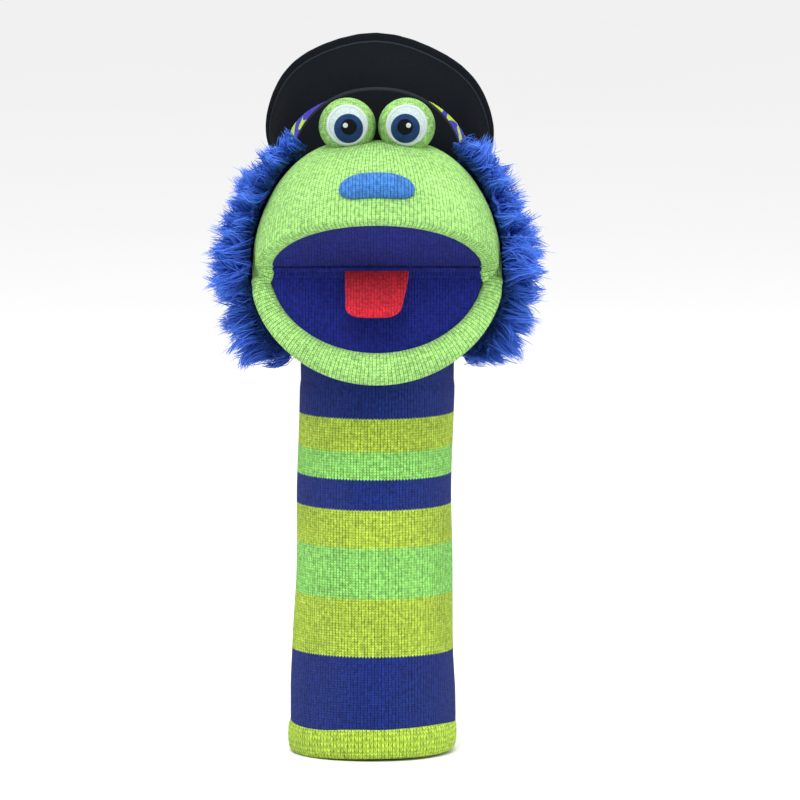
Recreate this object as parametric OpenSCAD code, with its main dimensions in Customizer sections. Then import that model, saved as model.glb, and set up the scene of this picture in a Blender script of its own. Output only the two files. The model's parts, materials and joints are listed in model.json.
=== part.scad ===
// Knitted sock puppet: a hand puppet with a hinged mouth, a furry mane and a soft cap.
// +Z is up, the face looks along -Y, and the origin is the centre of the arm opening.

/* [Sleeve] */
// Length of the knitted sleeve, from the arm opening to the neck
sleeve_len = 205; // [150:1:260]
// Outer radius of the knitted sleeve
sleeve_r = 43; // [40:0.5:50]
// Thickness of the double knit wall
knit_t = 3; // [1.5:0.1:4]
// Height of the rolled hem around the arm opening
hem_h = 17; // [10:0.5:30]
// How far the hem stands out from the sleeve
hem_t = 3.6; // [1.5:0.1:6]

/* [Neck] */
// Height of the neck tube above the sleeve
neck_h = 25; // [18:0.5:32]
// Height of the nodding axis above the sleeve
nod_rise = 10; // [6:0.5:14]

/* [Head] */
// How far the head leans back from upright, in degrees
head_tilt = 34; // [25:0.5:36]
// How far the mouth fold stands in front of the sleeve
fold_out = 7; // [6:0.5:12]
// Height of the mouth fold above the nodding axis
hinge_rise = 57; // [50:0.5:60]
// Radius of the face
face_r = 70.5; // [66:0.5:78]
// How far the centre of the face lies behind the mouth fold
face_back = 8; // [4:0.5:12]
// Radius of the back of the head
skull_r = 62; // [58:0.5:66]
// How far the centre of the skull lies in front of the sleeve's axis
skull_ahead = 2; // [0:0.5:6]
// How far the centre of the skull lies above the palate
skull_up = 26; // [20:0.5:30]
// Thickness of the face knit
cover_t = 2.5; // [1.5:0.1:4]

/* [Mouth] */
// Half width of the mouth lining at the fold
mouth_half_w = 57; // [46:0.5:60]
// Length of the palate from the fold to the upper lip
palate_len = 53; // [44:0.5:56]
// Length of the lower mouth panel from the fold to the lip
jaw_len = 46.5; // [36:0.5:52]
// How far the jaw hangs below the horizontal, in degrees
jaw_drop = 70; // [60:0.5:71]
// Angle left between the two mouth panels when the mouth is shut
shut_angle = 13; // [12:0.5:20]
// Thickness of each mouth lining
lining_t = 1.6; // [1:0.1:2]
// Thickness of each stiff mouth board
board_t = 1.6; // [1:0.1:2.2]
// Room for the thumb between the lower board and the chin
thumb_room = 11.5; // [6:0.1:13.8]
// Thickness of the chin knit
chin_t = 1.7; // [1:0.1:2]
// Radius of the stuffed lower lip at its middle
lip_front_r = 8.8; // [6:0.1:10]
// Radius of the stuffed lower lip at the mouth corners
lip_side_r = 6; // [4.5:0.1:6.3]
// Thickness of the knit over the lower lip
lip_t = 1.4; // [0.8:0.1:2]

/* [Hand space] */
// Width of the finger pocket
pocket_w = 88; // [70:1:90]
// Height of the finger pocket
pocket_h = 34; // [28:0.5:36]
// How far the finger pocket reaches in front of the mouth fold
pocket_reach = 32; // [20:0.5:34]
// Thickness of the pocket linings
pocket_t = 0.9; // [0.5:0.1:1.5]

/* [Tongue] */
// Width of the tongue
tongue_w = 35; // [25:0.5:42]
// Length of the tongue
tongue_len = 38; // [28:0.5:40]
// How far the tongue stands up from the lower mouth panel, in degrees
tongue_lift = 35; // [20:0.5:45]
// Thickness of the tongue's knit
tongue_t = 0.8; // [0.4:0.1:1]

/* [Nose] */
// Width of the bean-shaped nose
nose_w = 41.7; // [30:0.5:50]
// Height of the nose
nose_h = 16; // [12:0.5:20]
// Height of the nose above the palate
nose_up = 20.5; // [18:0.5:30]
// Thickness of the knit over the nose
nose_t = 1.2; // [0.8:0.1:2]

/* [Eyes] */
// Radius of each eye ball
eye_r = 15.6; // [12:0.1:15.8]
// Thickness of the knit over each eye ball
eye_t = 1.2; // [0.8:0.1:2]
// Distance between the two eye balls' centres
eye_gap = 32.4; // [32:0.1:38]
// Height of the eye balls' centres above the palate
eye_up = 73; // [71:0.5:76]
// How far the eye balls' centres lie in front of the mouth fold
eye_front = 30; // [28:0.5:34]
// How far the eyes look down from the palate's plane, in degrees
eye_look = 27; // [10:1:35]
// Radius of the white eye disc
white_r = 11.3; // [9:0.1:11.5]
// Radius of the iris
iris_r = 7.8; // [6:0.1:8.5]
// Radius of the pupil
pupil_r = 4.2; // [3:0.1:5]
// Radius of the glint
glint_r = 1.6; // [1:0.1:2]
// Thickness of each embroidered layer
stitch_t = 0.5; // [0.3:0.05:0.8]

/* [Mane] */
// Length of the fur pile
pile_len = 18; // [12:0.5:24]
// Thickness of the fur's woven backing
backing_t = 1.6; // [1:0.1:2]
// How far the mane hangs below the mouth fold
mane_drop = 54; // [30:1:57]

/* [Cap] */
// Outer radius of the cap's band
band_r = 50.5; // [46:0.5:52]
// How far the centre of the band lies behind the mouth fold
cap_back = 42; // [42:0.5:46]
// Height of the band's lower edge above the palate
band_low = 56; // [50:0.5:60]
// Height of the band's top above the palate
band_top = 94; // [90:0.5:96]
// Thickness of the cap's cloth
cloth_t = 1.2; // [0.8:0.1:1.8]
// Radius of the wide rim of the crown
rim_r = 64; // [58:0.5:70]
// How far the centre of the rim lies behind the mouth fold
rim_back = 50; // [46:0.5:54]
// Height of the centre of the rim above the palate
rim_up = 119; // [119:0.5:124]
// How far the rim leans back, in degrees
rim_tilt = 22; // [10:0.5:22]
// Height of the crown's domed top above its rim
crown_dome = 7; // [4:0.5:12]

/* [Visor] */
// Height of the visor's foot above the palate
visor_foot = 64; // [60:0.5:66]
// Height of the turned-up visor along its slope
visor_len = 39; // [20:0.5:44]
// Slope of the visor from the horizontal, in degrees
visor_slope = 75; // [72:0.5:80]
// Radius of the visor's arched outline
visor_arch = 58; // [50:0.5:60]
// Thickness of the visor's board and of the cloth on each side of it
visor_t = 1; // [0.6:0.1:1.2]
// Width of the binding along the visor's edge
piping_w = 1.4; // [1:0.1:2.5]

/* [Hidden] */
$fn = 64;

// Clearance between two bodies, between two layers of one body, and round a sewn-on piece
body_gap = 0.4;
skin_gap = 0.1;
seat_gap = 0.2;
// Larger than the whole puppet
big = 400;

nod_z = sleeve_len + nod_rise;
hinge_z = nod_z + hinge_rise;
hinge_reach = sleeve_r + fold_out;
skull_back = (hinge_reach - skull_ahead - skull_up * sin(head_tilt)) / cos(head_tilt);
mane_low = hinge_z - mane_drop;
neck_top = sleeve_len + neck_h;
// The neck's rim turns inside this ball as the head nods
nod_gap = 0.6;
neck_ball_r = norm([sleeve_r, neck_top - nod_z]) + nod_gap;
// The fur leaves this much room for the neck
fur_gap = 4;
neck_clear_r = sleeve_r + fur_gap;
ball_steps = 24;

// Layers of the jaw below its fold plane
panel_z = 0.2;
board_inset = 1.5;
board_z = panel_z + lining_t + skin_gap;
thumb_z = board_z + board_t;
chin_z = thumb_z + thumb_room;
jaw_depth = chin_z + chin_t;
chin_start = 8;
chin_rim_z = 5;
chin_inset = 3;
chin_setback = 2;
// Between the mouth lining and the lip sewn round it
seam_gap = 0.3;
fold_gap = 0.8;
fold_clear_r = 5;
pocket_z = board_z + board_t + skin_gap;
pocket_rear = 34;
channel_rear = 74;

// The lower lip's centre line is half an ellipse, from a little in front of the fold
lip_mid_w = mouth_half_w + lip_side_r + seam_gap;
lip_mid_len = jaw_len + lip_front_r + body_gap;
lip_from_fold = 5;
lip_start = asin(lip_from_fold / lip_mid_len);
lip_steps = 20;
lip_sides = 14;
lip_high = 1;
shut_spare = 0.7;
shut_slope = tan(shut_angle - shut_spare);

// The jaw's outer half width, which the mane leaves free
jaw_half_w = lip_mid_w + lip_side_r + 1;
mane_front = 4;
mane_top = 60;
jaw_free_y = jaw_depth + 2 - hinge_reach;

eye_turn = 90 + eye_look;
glint_shift = 1.6;

// A wedge that stays clear of both mouth panels when the mouth is shut
tongue_half_angle = 5;
tongue_root = 3;
tongue_corner = 9;
tip_chamfer = 3;
// Half thicknesses behind the chamfer and at the tip, as shares of the wedge's
chamfer_share = 0.92;
tip_share = 0.45;
root_thin = 0.1;

// The thumb pocket ends this far short of the lip
tip_room = 11;

// The cap: how much shorter the sweatband is than the band, and the crown's dome as a share of its rim
sweatband_drop = 12;
dome_share = 0.78;
disc_t = 0.4;
visor_gap = 0.6;

module at_head() {
  translate([0, -hinge_reach, hinge_z]) rotate([-head_tilt, 0, 0]) children();
}

module at_jaw() {
  translate([0, -hinge_reach, hinge_z]) rotate([jaw_drop, 0, 0]) children();
}

module at_tongue() {
  translate([0, -hinge_reach, hinge_z]) rotate([jaw_drop - tongue_lift, 0, 0]) children();
}

module tube(outer_r, inner_r, h) {
  difference() {
    cylinder(r = outer_r, h = h);
    translate([0, 0, -1]) cylinder(r = inner_r, h = h + 2);
  }
}

// The front half of an ellipse, cut off straight a little in front of the fold
module half_ellipse(half_w, len, start = fold_gap) {
  steps = 36;
  first = asin(start / len);
  polygon([
    for (i = [0 : steps])
      let (a = first + (180 - 2 * first) * i / steps)
      [-half_w * cos(a), -len * sin(a)]
  ]);
}

module above_palate() {
  translate([-big / 2, -big / 2, panel_z]) cube(big);
}

module neck_space() {
  translate([0, 0, nod_z]) sphere(r = neck_ball_r);
}

// A ball turned from short straight steps, so that it keeps a tight outline when it is cut
module turned_ball(r) {
  rotate_extrude() polygon([for (i = [0 : ball_steps])
    let (a = 180 * i / ball_steps - 90)
    [r * cos(a), r * sin(a)]]);
}

module head_shape(grow = 0) {
  translate([0, face_back, 0]) turned_ball(face_r + grow);
  translate([0, skull_back, skull_up]) turned_ball(skull_r + grow);
}

// Everything of the head that is above the palate and clear of the neck
module head_part() {
  difference() {
    at_head() intersection() {
      children();
      above_palate();
    }
    neck_space();
  }
}

module sleeve_knit() {
  color("royalblue") tube(sleeve_r, sleeve_r - knit_t, sleeve_len);
}

module cuff_hem() {
  inner = sleeve_r + skin_gap / 2;
  outer = sleeve_r + hem_t;
  round_r = (outer - inner) / 2;
  color("yellowgreen") rotate_extrude() {
    translate([inner, 0]) square([outer - inner - round_r, hem_h]);
    translate([inner, round_r]) square([outer - inner, hem_h - 2 * round_r]);
    for (z = [round_r, hem_h - round_r]) translate([outer - round_r, z]) circle(r = round_r);
  }
}

module neck_knit() {
  color("royalblue") translate([0, 0, sleeve_len + body_gap])
    tube(sleeve_r, sleeve_r - knit_t, neck_h - body_gap);
}

module head_cover() {
  color("limegreen") head_part() difference() {
    head_shape();
    head_shape(-cover_t);
  }
}

// The flat, round-ended space for the four fingers
module finger_space(shrink, rear) {
  r = pocket_h / 2 - shrink;
  side = pocket_w / 2 - pocket_h / 2;
  front = pocket_reach - shrink;
  translate([0, -front, pocket_z + pocket_h / 2]) rotate([-90, 0, 0])
    linear_extrude(height = front + rear) {
      square([2 * side, 2 * r], center = true);
      for (s = [-1, 1]) translate([s * side, 0]) circle(r = r);
    }
}

module head_padding() {
  color("white") head_part() difference() {
    head_shape(-cover_t - skin_gap);
    finger_space(-skin_gap, channel_rear);
    translate([0, 0, -1]) linear_extrude(height = 1 + pocket_z)
      half_ellipse(mouth_half_w + skin_gap, palate_len + skin_gap, 0);
    // The way for the hand stays open behind the fold
    translate([-pocket_w / 2, -1, -1]) cube([pocket_w, channel_rear, 1 + pocket_z + pocket_h / 2]);
    rotate([0, 90, 0]) cylinder(r = fold_clear_r, h = big, center = true);
  }
}

module finger_pocket() {
  color("navy") head_part() difference() {
    finger_space(0, pocket_rear);
    finger_space(pocket_t, pocket_rear + 1);
  }
}

module upper_mouth_panel() {
  color("mediumblue") at_head() translate([0, 0, panel_z])
    linear_extrude(height = lining_t) half_ellipse(mouth_half_w, palate_len);
}

module upper_mouth_board() {
  color("tan") at_head() translate([0, 0, board_z])
    linear_extrude(height = board_t) half_ellipse(mouth_half_w - board_inset, palate_len - board_inset);
}

// A bean lying across the face, pressed against it
module nose_bean(shrink = 0) {
  r = nose_h / 2;
  side = nose_w / 2 - r;
  front = sqrt(pow(face_r, 2) - pow(nose_up, 2)) - face_back;
  at_head() difference() {
    translate([0, -front - 1, nose_up]) {
      rotate([0, 90, 0]) cylinder(r = r - shrink, h = 2 * side, center = true);
      for (s = [-1, 1]) translate([s * side, 0, 0]) sphere(r = r - shrink);
    }
    translate([0, face_back, 0]) turned_ball(face_r + seat_gap + shrink);
  }
}

module nose_cover() {
  color("dodgerblue") difference() {
    nose_bean();
    nose_bean(nose_t);
  }
}

module nose_stuffing() {
  color("white") nose_bean(nose_t + skin_gap);
}

module at_eye(side) {
  at_head() translate([side * eye_gap / 2, -eye_front, eye_up]) children();
}

module eye_cover(side) {
  color("limegreen") difference() {
    at_eye(side) difference() {
      turned_ball(eye_r);
      turned_ball(eye_r - eye_t);
    }
    at_head() head_shape(seat_gap);
  }
}

module eye_stuffing(side) {
  color("white") difference() {
    at_eye(side) turned_ball(eye_r - eye_t - skin_gap);
    at_head() head_shape(seat_gap + eye_t);
  }
}

// A round embroidered layer on the front of the eye ball
module eye_layer(side, level, r, shift = 0) {
  low = eye_r + skin_gap / 2 + level * (stitch_t + skin_gap / 2);
  at_eye(side) intersection() {
    difference() {
      sphere(r = low + stitch_t);
      sphere(r = low);
    }
    rotate([eye_turn, 0, 0]) translate([side * shift, 0, 0]) cylinder(r = r, h = 2 * eye_r);
  }
}

module eye_white(side) {
  color("white") eye_layer(side, 0, white_r);
}

module eye_iris(side) {
  color("navy") eye_layer(side, 1, iris_r);
}

module eye_pupil(side) {
  color("black") eye_layer(side, 2, pupil_r);
}

module eye_glint(side) {
  color("white") eye_layer(side, 3, glint_r, glint_shift);
}

// The part of the head that the fur covers: behind the face and below the cap
module mane_zone(low) {
  translate([-big / 2, -mane_front, low]) cube([big, big, mane_top - low]);
}

module mane_backing() {
  color("blue") head_part() intersection() {
    difference() {
      head_shape(backing_t);
      head_shape(skin_gap / 2);
    }
    mane_zone(-big / 2);
  }
}

module mane_pile() {
  color("blue") difference() {
    at_head() intersection() {
      difference() {
        head_shape(backing_t + pile_len);
        head_shape(backing_t + skin_gap);
      }
      mane_zone(-big / 2);
    }
    neck_space();
    cylinder(r = neck_clear_r, h = neck_top + 10);
    translate([-big / 2, -big / 2, mane_low - big]) cube(big);
    translate([-jaw_half_w, jaw_free_y - big, hinge_z - big]) cube([2 * jaw_half_w, big, big]);
  }
}

module cap_ring(outer_r, inner_r, low, high) {
  at_head() difference() {
    translate([0, cap_back, low]) tube(outer_r, inner_r, high - low);
    head_shape(backing_t + skin_gap);
  }
}

module cap_band() {
  color("slateblue") cap_ring(band_r, band_r - cloth_t, band_low, band_top);
}

module cap_sweatband() {
  color("black") cap_ring(band_r - cloth_t - skin_gap, band_r - 2 * cloth_t, band_low, band_top - sweatband_drop);
}

module at_rim() {
  translate([0, rim_back, rim_up]) rotate([-rim_tilt, 0, 0]) children();
}

// The flaring lower part of the crown, from the band up to the rim
module crown_flare(inset = 0) {
  intersection() {
    hull() {
      translate([0, cap_back, band_top + seat_gap + inset]) cylinder(r = band_r - inset, h = disc_t);
      at_rim() translate([0, 0, inset - disc_t]) cylinder(r = rim_r - inset, h = disc_t);
    }
    at_rim() translate([-big / 2, -big / 2, -big]) cube(big);
  }
}

// The domed top of the crown, above the rim
module crown_lid(inset = 0) {
  at_rim() hull() {
    translate([0, 0, skin_gap - inset]) cylinder(r = rim_r - inset, h = 2 * disc_t);
    translate([0, 0, crown_dome - 2 * disc_t - inset])
      cylinder(r = dome_share * rim_r - inset, h = 2 * disc_t);
  }
}

module cap_crown_under() {
  color("black") at_head() difference() {
    crown_flare();
    crown_flare(cloth_t);
    translate([0, cap_back, band_top]) cylinder(r = band_r - cloth_t, h = 2 * cloth_t);
  }
}

module cap_crown_top() {
  color("black") at_head() difference() {
    crown_lid();
    crown_lid(cloth_t);
  }
}

module cap_padding() {
  core_r = band_r - 2 * cloth_t - skin_gap;
  color("white") at_head() difference() {
    union() {
      crown_flare(cloth_t + skin_gap);
      translate([0, cap_back, band_low]) cylinder(r = core_r, h = band_top + 2 * cloth_t - band_low);
    }
    head_shape(backing_t + skin_gap);
  }
}

// A cone-shaped sheet that stands around the front of the band
module visor_sheet(low, high) {
  base_r = band_r + visor_gap;
  run = visor_len * cos(visor_slope);
  rise = visor_len * sin(visor_slope);
  translate([0, cap_back, visor_foot]) rotate([0, 0, 180]) rotate_extrude(angle = 180)
    polygon([
      [base_r + low, 0], [base_r + high, 0],
      [base_r + high + run, rise], [base_r + low + run, rise]
    ]);
}

// The arched outline of the visor, seen from the front
module visor_outline(inset = 0) {
  top = visor_foot + visor_len * sin(visor_slope);
  translate([0, 0, top - visor_arch]) rotate([90, 0, 0])
    cylinder(r = visor_arch - inset, h = big, center = true);
}

module visor_layer(low, high, inset) {
  at_head() difference() {
    intersection() {
      visor_sheet(low, high);
      visor_outline(inset);
    }
    head_shape(seat_gap);
  }
}

// The visor's layers lie one outside the other: cloth, board, cloth
module visor_ply(level, inset) {
  low = level * (visor_t + skin_gap);
  visor_layer(low, low + visor_t, inset);
}

module visor_front() {
  color("black") visor_ply(2, piping_w + 2 * skin_gap);
}

module visor_board() {
  color("dimgray") visor_ply(1, 2 * piping_w);
}

module visor_back() {
  color("black") visor_ply(0, piping_w + 2 * skin_gap);
}

module visor_piping() {
  color("black") difference() {
    visor_layer(-skin_gap, 3 * (visor_t + skin_gap), skin_gap);
    at_head() visor_outline(piping_w + skin_gap);
  }
}

function lip_radius(a) = lip_side_r + (lip_front_r - lip_side_r) * pow(sin(a), 2);

// The lip hangs lower towards the mouth corners, so that the shut mouth is clear
function lip_level(a, r) = min(lip_high, lip_mid_len * sin(a) * shut_slope - r - panel_z);

// One ring of points around the lip, at the angle a along its half ellipse
function lip_ring(a, inset) =
  let (
    r = lip_radius(a),
    dir = [lip_mid_len * cos(a), lip_mid_w * sin(a)] / norm([lip_mid_len * cos(a), lip_mid_w * sin(a)])
  )
  [for (j = [0 : lip_sides - 1])
    let (b = 360 * j / lip_sides, out = (r - inset) * cos(b))
    [
      lip_mid_w * cos(a) + dir[0] * out,
      -lip_mid_len * sin(a) - dir[1] * out,
      lip_level(a, r) + (r - inset) * sin(b)
    ]];

// A stuffed roll around the lip, with flat ends
module lip_roll(inset = 0) {
  span = 180 - 2 * lip_start;
  ends = inset / 2;
  rings = [for (i = [0 : lip_steps]) lip_ring(lip_start + ends + (span - 2 * ends) * i / lip_steps, inset)];
  points = [for (ring = rings) for (p = ring) p];
  n = lip_sides;
  sides = [for (i = [0 : lip_steps - 1]) for (j = [0 : n - 1])
    [i * n + j, (i + 1) * n + j, (i + 1) * n + (j + 1) % n, i * n + (j + 1) % n]];
  first = [for (j = [0 : n - 1]) j];
  last = [for (j = [0 : n - 1]) lip_steps * n + n - 1 - j];
  polyhedron(points = points, faces = concat(sides, [first, last]));
}

module jaw_lip() {
  color("limegreen") at_jaw() difference() {
    lip_roll();
    lip_roll(lip_t);
  }
}

module jaw_lip_stuffing() {
  color("white") at_jaw() lip_roll(lip_t + skin_gap);
}

module lower_mouth_panel() {
  color("mediumblue") at_jaw() translate([0, 0, -panel_z - lining_t])
    linear_extrude(height = lining_t) half_ellipse(mouth_half_w - seam_gap, jaw_len - seam_gap);
}

module lower_mouth_board() {
  color("tan") at_jaw() translate([0, 0, -board_z - board_t])
    linear_extrude(height = board_t) half_ellipse(mouth_half_w - board_inset, jaw_len - board_inset);
}

// The plan of the chin, which starts a little in front of the fold
module chin_plan(inset, start) {
  half_ellipse(mouth_half_w - chin_inset - inset, jaw_len - chin_setback - inset, start);
}

// A dish under the jaw, open towards the hand
module chin_cover() {
  color("limegreen") at_jaw() difference() {
    translate([0, 0, -jaw_depth]) linear_extrude(height = jaw_depth - chin_rim_z)
      chin_plan(0, chin_start);
    translate([0, 0, -chin_z]) linear_extrude(height = chin_z) chin_plan(chin_t, 0);
  }
}

// A flat pocket for the thumb, sewn to the back of the lower board
module thumb_pocket() {
  half_w = mouth_half_w / 2;
  low = thumb_z + skin_gap;
  high = chin_z - skin_gap;
  reach = jaw_len - tip_room;
  color("navy") at_jaw() difference() {
    translate([-half_w, -reach, -high]) cube([2 * half_w, reach - chin_start, high - low]);
    translate([-half_w + pocket_t, -reach + pocket_t, -high + pocket_t])
      cube([2 * (half_w - pocket_t), reach, high - low]);
  }
}

// A wedge from the fold outwards, with a rounded tip
module tongue_wedge(inset = 0) {
  slope = tan(tongue_half_angle);
  half_t = tongue_len * slope - inset;
  root = tongue_root + inset;
  tip = inset - tongue_len;
  root_t = root * slope - inset * root_thin;
  intersection() {
    rotate([90, 0, 90]) linear_extrude(height = tongue_w - 2 * inset, center = true)
      polygon([
        [-root, root_t], [-root, -root_t],
        [tip + tip_chamfer, -half_t * chamfer_share], [tip, -half_t * tip_share],
        [tip, half_t * tip_share], [tip + tip_chamfer, half_t * chamfer_share]
      ]);
    translate([0, 0, -big / 2]) linear_extrude(height = big) {
      translate([inset - tongue_w / 2, tongue_corner - tongue_len])
        square([tongue_w - 2 * inset, tongue_len]);
      translate([tongue_corner - tongue_w / 2, inset - tongue_len])
        square([tongue_w - 2 * tongue_corner, tongue_len]);
      for (s = [-1, 1]) translate([s * (tongue_w / 2 - tongue_corner), tongue_corner - tongue_len])
        circle(r = tongue_corner - inset);
    }
  }
}

module tongue_cover() {
  color("crimson") at_tongue() difference() {
    tongue_wedge();
    tongue_wedge(tongue_t);
  }
}

module tongue_stuffing() {
  color("white") at_tongue() tongue_wedge(tongue_t + skin_gap / 2);
}

sleeve_knit();
cuff_hem();
neck_knit();
head_cover();
head_padding();
finger_pocket();
upper_mouth_panel();
upper_mouth_board();
nose_cover();
nose_stuffing();
eye_cover(-1);  // eye_ball_left
eye_cover(1);  // eye_ball_right
eye_stuffing(-1);  // eye_stuffing_left
eye_stuffing(1);  // eye_stuffing_right
eye_white(-1);  // eye_white_left
eye_white(1);  // eye_white_right
eye_iris(-1);  // eye_iris_left
eye_iris(1);  // eye_iris_right
eye_pupil(-1);  // eye_pupil_left
eye_pupil(1);  // eye_pupil_right
eye_glint(-1);  // eye_glint_left
eye_glint(1);  // eye_glint_right
mane_backing();
mane_pile();
cap_band();
cap_sweatband();
cap_padding();
cap_crown_under();
cap_crown_top();
visor_front();
visor_board();
visor_back();
visor_piping();
jaw_lip();
jaw_lip_stuffing();
lower_mouth_panel();
lower_mouth_board();
thumb_pocket();
chin_cover();
tongue_cover();
tongue_stuffing();
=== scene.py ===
"""Looks for the knitted sock puppet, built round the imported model.

Shapes are worked out in millimetres in the row frame and become metres when a mesh is made.
"""

import json
import math

import bmesh
import bpy
import numpy as np
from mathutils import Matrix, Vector


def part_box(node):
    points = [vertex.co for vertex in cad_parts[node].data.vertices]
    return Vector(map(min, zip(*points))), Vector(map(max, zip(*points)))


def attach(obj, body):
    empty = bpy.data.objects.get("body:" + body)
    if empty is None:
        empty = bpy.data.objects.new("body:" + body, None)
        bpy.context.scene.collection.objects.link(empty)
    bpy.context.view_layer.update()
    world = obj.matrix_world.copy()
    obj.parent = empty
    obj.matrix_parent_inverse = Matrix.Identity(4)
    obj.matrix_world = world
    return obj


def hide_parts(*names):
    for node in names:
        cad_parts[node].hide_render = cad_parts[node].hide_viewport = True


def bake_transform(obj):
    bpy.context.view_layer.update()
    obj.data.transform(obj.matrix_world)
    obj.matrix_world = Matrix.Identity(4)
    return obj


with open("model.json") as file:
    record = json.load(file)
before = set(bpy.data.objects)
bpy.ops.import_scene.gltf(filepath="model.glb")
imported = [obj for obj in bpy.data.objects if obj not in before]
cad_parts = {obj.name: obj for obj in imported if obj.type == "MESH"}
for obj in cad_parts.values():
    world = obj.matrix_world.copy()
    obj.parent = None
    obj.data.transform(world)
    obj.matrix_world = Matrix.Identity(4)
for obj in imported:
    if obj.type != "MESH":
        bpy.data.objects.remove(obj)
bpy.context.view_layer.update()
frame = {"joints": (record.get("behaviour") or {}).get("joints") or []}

MM = 0.001
FULL_TURN = 2 * math.pi


def joint_place(name):
    """Where a joint's axis passes, in millimetres."""
    return np.array(next(j["pos_m"] for j in frame["joints"] if j["name"] == name)) / MM


def node_top(name):
    """The highest corner of a CAD node, in millimetres."""
    return np.array(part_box(name)[1]) / MM


# Places and sizes that the frame gives
HINGE = joint_place("jaw_hinge")
NECK_TURN_Z = joint_place("neck_turn")[2]
SLEEVE_R = node_top("sleeve_knit")[0]
MOUTH_HALF_W = node_top("upper_mouth_panel")[0]
FACE_R = node_top("head_cover")[0]
HEM_R = node_top("cuff_hem")[0]
HEM_TOP = node_top("cuff_hem")[2]
NOSE_HALF_W = node_top("nose_cover")[0]
TONGUE_HALF_W = node_top("tongue_cover")[0]
RIM_R = node_top("cap_crown_top")[0]
BAND_R = node_top("cap_band")[0]

# Most pieces of the head, jaw and tongue sit this far to one side of their CAD nodes
LEAN = np.array([1.2, 0, 0])

# The design's other sizes, close to the CAD source's
HEAD_TILT = 34
JAW_DROP = 70
TONGUE_DROP = 35
PALATE_LEN = 53
JAW_LEN = 46.5
LIP_FRONT_R = 8.8
LIP_SIDE_R = 6
SHUT_SLOPE = math.tan(math.radians(12.3))
JAW_DEPTH = 16.7
FACE_BACK = 8
SKULL_BACK = 40.4
SKULL_UP = 26
SKULL_R = 62
EYE_R = 15.6
EYE = np.array([16.2, -30, 73.7])
EYE_LOOK = 27
NOSE_R = 8
NOSE_UP = 20.5
CAP_BACK = 42
BAND_LOW = 56
BAND_TOP = 101
BAND_LIFT = 0.12
RIM_BACK = 50
RIM_UP = 119
RIM_TILT = 22
VISOR_FOOT = 64
VISOR_LEN = 39
VISOR_SLOPE = 75
CROWN_ROLL = 3
CROWN_PUCKERS = 38
VISOR_OUT = 2.0


# ---------------------------------------------------------------- frames and grids


def cos_sin(degrees):
    return math.cos(math.radians(degrees)), math.sin(math.radians(degrees))


def about_x(points, degrees):
    """Points turned about the X axis."""
    c, s = cos_sin(degrees)
    x, y, z = points[..., 0], points[..., 1], points[..., 2]
    return np.stack([x, y * c - z * s, y * s + z * c], -1)


def turned(points, degrees):
    """Points given in a frame at the mouth fold, turned about X, as points in the row frame."""
    return about_x(points, degrees) + HINGE + LEAN


def at_head(points):
    return turned(points, -HEAD_TILT)


def at_jaw(points):
    return turned(points, JAW_DROP)


def at_tongue(points):
    return turned(points, TONGUE_DROP)


def head_axes(points):
    """The other way round: row points, as points in the head's frame, with the lean left in."""
    return about_x(points - HINGE, HEAD_TILT)


def smooth_step(t):
    """Rises smoothly from 0 to 1 as t does."""
    t = np.clip(t, 0, 1)
    return t * t * (3 - 2 * t)


def spread(rows, cols, row_from, row_to, col_from, col_to):
    """Two grids of parameters: the first goes down the rows and the second along the columns."""
    down = np.linspace(row_from, row_to, rows)
    return np.meshgrid(down, np.linspace(col_from, col_to, cols), indexing="ij")


def signed_power(value, power):
    """A power that keeps its value's sign: a low one squares off a round section."""
    return np.sign(value) * np.abs(value) ** power


def normalised(vectors):
    return vectors / np.linalg.norm(vectors, axis=-1, keepdims=True)


def place_object(name, data):
    made = bpy.data.objects.new(name, data)
    bpy.context.scene.collection.objects.link(made)
    return made


def stacked(x, y, z):
    return np.stack(np.broadcast_arrays(x, y, z), -1).astype(float)


def real_uv(points):
    """A flat map of a grid at its real size: u along the columns and v down the rows, in millimetres."""
    across = np.linalg.norm(np.diff(points, axis=1), axis=2).max(axis=0)
    down = np.linalg.norm(np.diff(points, axis=0), axis=2).mean(axis=1)
    u = np.concatenate([[0], np.cumsum(across)])
    v = np.concatenate([[0], np.cumsum(down)])
    return np.stack(np.meshgrid(v, u, indexing="ij")[::-1], -1)


WELD = 2e-6


def add_grid(name, points, uv=None, closed=True, flip=False):
    """A surface through a grid of points. Rows or columns that meet are welded."""
    rows, cols = points.shape[:2]
    uv = real_uv(points) if uv is None else uv
    index = np.arange(rows * cols).reshape(rows, cols)
    quads = np.stack([index[:-1, :-1], index[:-1, 1:], index[1:, 1:], index[1:, :-1]], -1).reshape(-1, 4)
    quads = quads[:, ::-1] if flip else quads
    mesh = bpy.data.meshes.new(name)
    mesh.from_pydata((points.reshape(-1, 3) * MM).tolist(), [], quads.tolist())
    layer = mesh.uv_layers.new(name="Knit")
    layer.data.foreach_set("uv", uv.reshape(-1, 2)[quads.ravel()].astype(np.float32).ravel())
    work = bmesh.new()
    work.from_mesh(mesh)
    bmesh.ops.remove_doubles(work, verts=work.verts, dist=WELD)
    if closed:
        bmesh.ops.recalc_face_normals(work, faces=work.faces)
    work.to_mesh(mesh)
    work.free()
    mesh.shade_smooth()
    return place_object(name, mesh)


def thicken(piece, thickness):
    """Gives a sheet its thickness, on the side away from its normals."""
    solid = piece.modifiers.new("Thickness", "SOLIDIFY")
    solid.thickness = thickness * MM
    solid.offset = -1
    return piece


def finish_piece(piece, material, body, slot, *nodes):
    """Gives a piece its material and hides the CAD nodes it stands for; where one body is named, it
    rides on that body.
    """
    piece.data.materials.append(material)
    if isinstance(body, str):
        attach(piece, body)
    else:
        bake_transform(piece)
    if nodes:
        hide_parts(*nodes)
    return piece


CLOTH_STEPS = 20
NO_MOVE = 1e-9


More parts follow.
